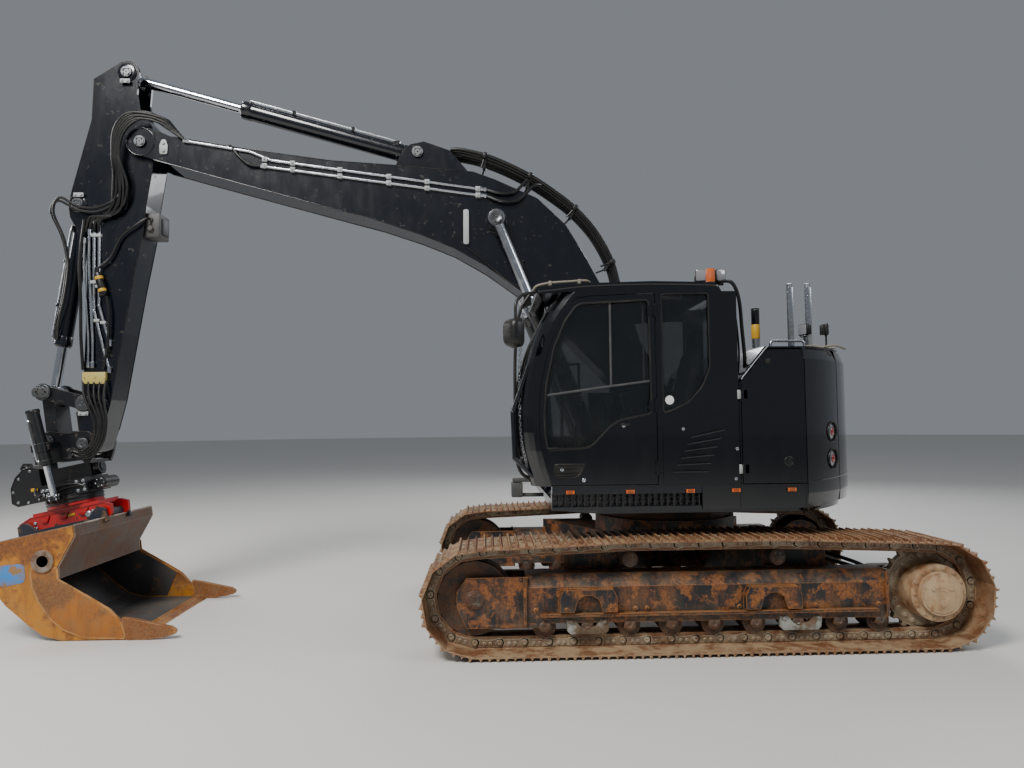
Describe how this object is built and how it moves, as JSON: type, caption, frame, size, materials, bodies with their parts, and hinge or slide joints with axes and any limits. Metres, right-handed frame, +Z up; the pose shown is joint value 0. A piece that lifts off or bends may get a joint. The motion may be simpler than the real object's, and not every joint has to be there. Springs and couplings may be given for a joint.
{
  "type": "crawler excavator",
  "caption": "Crawler excavator with cab on the left, curved boom, arm, tilting and turning coupler and a wide ditching bucket.",
  "frame": {"origin": "on the ground under the slewing axis, midway between the tracks", "axes": "+X forward (the boom's side), +Y to the operator's left, +Z up"},
  "size_m": [8.2695, 3.005, 5.244],
  "materials": {
    "black_paint": "satin",
    "frame_paint": "worn matt",
    "track_steel": "worn",
    "drive_cast": "rusted",
    "ring_steel": "greased",
    "rod_chrome": "polished",
    "pin_steel": "worn",
    "pipe_steel": "zinc plated",
    "engine_iron": "oily",
    "pane": "clear",
    "seat_cloth": "woven",
    "dark_plastic": "textured",
    "amber_plastic": "clear coat",
    "lamp_plastic": "clear coat",
    "red_paint": "gloss",
    "bucket_paint": "chipped",
    "wear_plate": "rusted"
  },
  "bodies": {
    "undercarriage": {"carbody": "frame_paint", "track_frame_left": "frame_paint", "track_frame_right": "frame_paint", "track_left": "track_steel", "track_right": "track_steel", "idlers": "track_steel", "sprockets": "drive_cast", "final_drives": "drive_cast", "lower_rollers": "track_steel", "carrier_rollers": "track_steel", "slewing_ring": "ring_steel"},
    "upper_structure": {"platform": "frame_paint", "counterweight": "black_paint", "engine_block": "engine_iron", "skirts": "black_paint", "step_sill": "black_paint", "cab_shell": "black_paint", "cab_roof": "black_paint", "cab_glass": "pane", "cab_vent_panel": "black_paint", "seat_cushions": "seat_cloth", "cab_controls": "dark_plastic", "right_tanks": "black_paint", "rear_walls": "black_paint", "stack_and_masts": "pipe_steel", "handrails": "black_paint", "mirrors": "dark_plastic", "work_lamps": "dark_plastic", "amber_lamps": "amber_plastic", "rear_lamps": "lamp_plastic"},
    "cab_door_leaf": {"cab_door": "black_paint", "door_glass": "pane"},
    "service_door_leaf": {"service_door": "black_paint"},
    "pump_door_leaf": {"pump_door": "black_paint"},
    "hood_lid": {"engine_hood": "black_paint"},
    "boom_frame": {"boom": "black_paint", "boom_pins": "pin_steel", "boom_pipes": "pipe_steel"},
    "lift_barrels": {"boom_barrels": "black_paint"},
    "lift_rods": {"boom_rods": "rod_chrome"},
    "arm_frame": {"arm": "black_paint", "arm_pins": "pin_steel", "arm_pipes": "pipe_steel"},
    "crowd_barrel": {"arm_barrel": "black_paint"},
    "crowd_rod": {"arm_rod": "rod_chrome"},
    "hitch_frame": {"hitch": "black_paint"},
    "guide_pair": {"guide_links": "black_paint"},
    "tie_piece": {"tie_link": "black_paint"},
    "curl_barrel": {"bucket_barrel": "black_paint"},
    "curl_rod": {"bucket_rod": "rod_chrome"},
    "swivel_housing": {"tilt_housing": "black_paint"},
    "tilt_barrel_l": {"tilt_barrel_left": "black_paint"},
    "tilt_barrel_r": {"tilt_barrel_right": "black_paint"},
    "tilt_rod_l": {"tilt_rod_left": "rod_chrome"},
    "tilt_rod_r": {"tilt_rod_right": "rod_chrome"},
    "work_tool": {"coupler": "red_paint", "bucket": "bucket_paint", "bucket_side_left": "wear_plate", "bucket_side_right": "wear_plate", "bucket_edge": "wear_plate"}
  },
  "joints": [
    {"name": "slew", "type": "hinge", "parent": "undercarriage", "child": "upper_structure", "pos_m": [0, 0, 0], "axis": [0, 0, 1], "continuous": true},
    {"name": "boom_lift", "type": "hinge", "parent": "upper_structure", "child": "boom_frame", "pos_m": [0.15, 0, 1.85], "axis": [0, -1, 0], "range_deg": [-65, 33]},
    {"name": "arm_swing", "type": "hinge", "parent": "boom_frame", "child": "arm_frame", "pos_m": [4.921, 0, 4.444], "axis": [0, 1, 0], "range_deg": [-80, 35]},
    {"name": "bucket_curl", "type": "hinge", "parent": "arm_frame", "child": "hitch_frame", "pos_m": [5.385, 0, 1.623], "axis": [0, 1, 0], "range_deg": [-35, 90]},
    {"name": "tilt", "type": "hinge", "parent": "hitch_frame", "child": "swivel_housing", "pos_m": [5.33822, 0, 1.40292], "axis": [0.9781, 0, -0.2079], "range_deg": [-40, 40]},
    {"name": "tool_turn", "type": "hinge", "parent": "swivel_housing", "child": "work_tool", "pos_m": [5.55554, 0, 1.1267], "axis": [0.2079, 0, 0.9781], "continuous": true},
    {"name": "cab_door_swing", "type": "hinge", "parent": "upper_structure", "child": "cab_door_leaf", "pos_m": [0.388, 1.433, 1.3], "axis": [0, 0, 1], "range_deg": [0, 165]},
    {"name": "service_door_swing", "type": "hinge", "parent": "upper_structure", "child": "service_door_leaf", "pos_m": [-0.287, 1.433, 1.3], "axis": [0, 0, 1], "range_deg": [-120, 0]},
    {"name": "pump_door_swing", "type": "hinge", "parent": "upper_structure", "child": "pump_door_leaf", "pos_m": [-0.287, -1.433, 1.3], "axis": [0, 0, 1], "range_deg": [0, 120]},
    {"name": "hood_lift", "type": "hinge", "parent": "upper_structure", "child": "hood_lid", "pos_m": [-1.1, 0, 2.376], "axis": [0, -1, 0], "range_deg": [0, 75]},
    {"name": "lift_barrel_swing", "type": "hinge", "parent": "upper_structure", "child": "lift_barrels", "pos_m": [0.7, 0, 1.47], "axis": [0, -1, 0], "range_deg": [-66.6, 34.1]},
    {"name": "lift_rod_stroke", "type": "slide", "parent": "lift_barrels", "child": "lift_rods", "axis": [0.3743, 0, 0.9273], "range_m": [-0.672, 0.344]},
    {"name": "crowd_barrel_swing", "type": "hinge", "parent": "boom_frame", "child": "crowd_barrel", "pos_m": [2.335, 0, 4.37], "axis": [0, -1, 0], "range_deg": [-1.5, 2.7]},
    {"name": "crowd_rod_stroke", "type": "slide", "parent": "crowd_barrel", "child": "crowd_rod", "axis": [0.9635, 0, 0.2677], "range_m": [-0.857, 0.378]},
    {"name": "guide_swing", "type": "hinge", "parent": "arm_frame", "child": "guide_pair", "pos_m": [5.4, 0, 1.996], "axis": [0, -1, 0], "range_deg": [-71.6, 28.2]},
    {"name": "tie_swing", "type": "hinge", "parent": "hitch_frame", "child": "tie_piece", "pos_m": [5.698, 0, 1.651], "axis": [0, -1, 0], "range_deg": [-28.2, 71.7]},
    {"name": "curl_barrel_swing", "type": "hinge", "parent": "arm_frame", "child": "curl_barrel", "pos_m": [5.508, 0, 3.867], "axis": [0, -1, 0], "range_deg": [-2.6, 1.4]},
    {"name": "curl_rod_stroke", "type": "slide", "parent": "curl_barrel", "child": "curl_rod", "axis": [0.1438, 0, -0.9896], "range_m": [-0.169, 0.425]},
    {"name": "tilt_barrel_swing_l", "type": "hinge", "parent": "hitch_frame", "child": "tilt_barrel_l", "pos_m": [5.65534, 0.36, 1.59621], "axis": [0.9781, 0, -0.2079], "range_deg": [-16.5, 16.5]},
    {"name": "tilt_rod_stroke_l", "type": "slide", "parent": "tilt_barrel_l", "child": "tilt_rod_l", "axis": [-0.2067, -0.1058, -0.9727], "range_m": [-0.235, 0.235]},
    {"name": "tilt_barrel_swing_r", "type": "hinge", "parent": "hitch_frame", "child": "tilt_barrel_r", "pos_m": [5.65534, -0.36, 1.59621], "axis": [0.9781, 0, -0.2079], "range_deg": [-16.5, 16.5]},
    {"name": "tilt_rod_stroke_r", "type": "slide", "parent": "tilt_barrel_r", "child": "tilt_rod_r", "axis": [-0.2067, 0.1058, -0.9727], "range_m": [-0.235, 0.235]}
  ],
  "couplings": [
    {"joint": "lift_barrel_swing", "follows": "boom_lift", "ratio": 1.0168},
    {"joint": "lift_rod_stroke", "follows": "boom_lift", "m_per_rad": 0.5871},
    {"joint": "crowd_barrel_swing", "follows": "arm_swing", "ratio": -0.0275},
    {"joint": "crowd_rod_stroke", "follows": "arm_swing", "m_per_rad": 0.6096},
    {"joint": "guide_swing", "follows": "bucket_curl", "ratio": -0.7897},
    {"joint": "tie_swing", "follows": "bucket_curl", "ratio": 0.7903},
    {"joint": "curl_barrel_swing", "follows": "bucket_curl", "ratio": -0.0233},
    {"joint": "curl_rod_stroke", "follows": "bucket_curl", "m_per_rad": 0.2672},
    {"joint": "tilt_barrel_swing_l", "follows": "tilt", "ratio": 0.3977},
    {"joint": "tilt_rod_stroke_l", "follows": "tilt", "m_per_rad": -0.3287},
    {"joint": "tilt_barrel_swing_r", "follows": "tilt", "ratio": 0.3977},
    {"joint": "tilt_rod_stroke_r", "follows": "tilt", "m_per_rad": 0.3287}
  ]
}
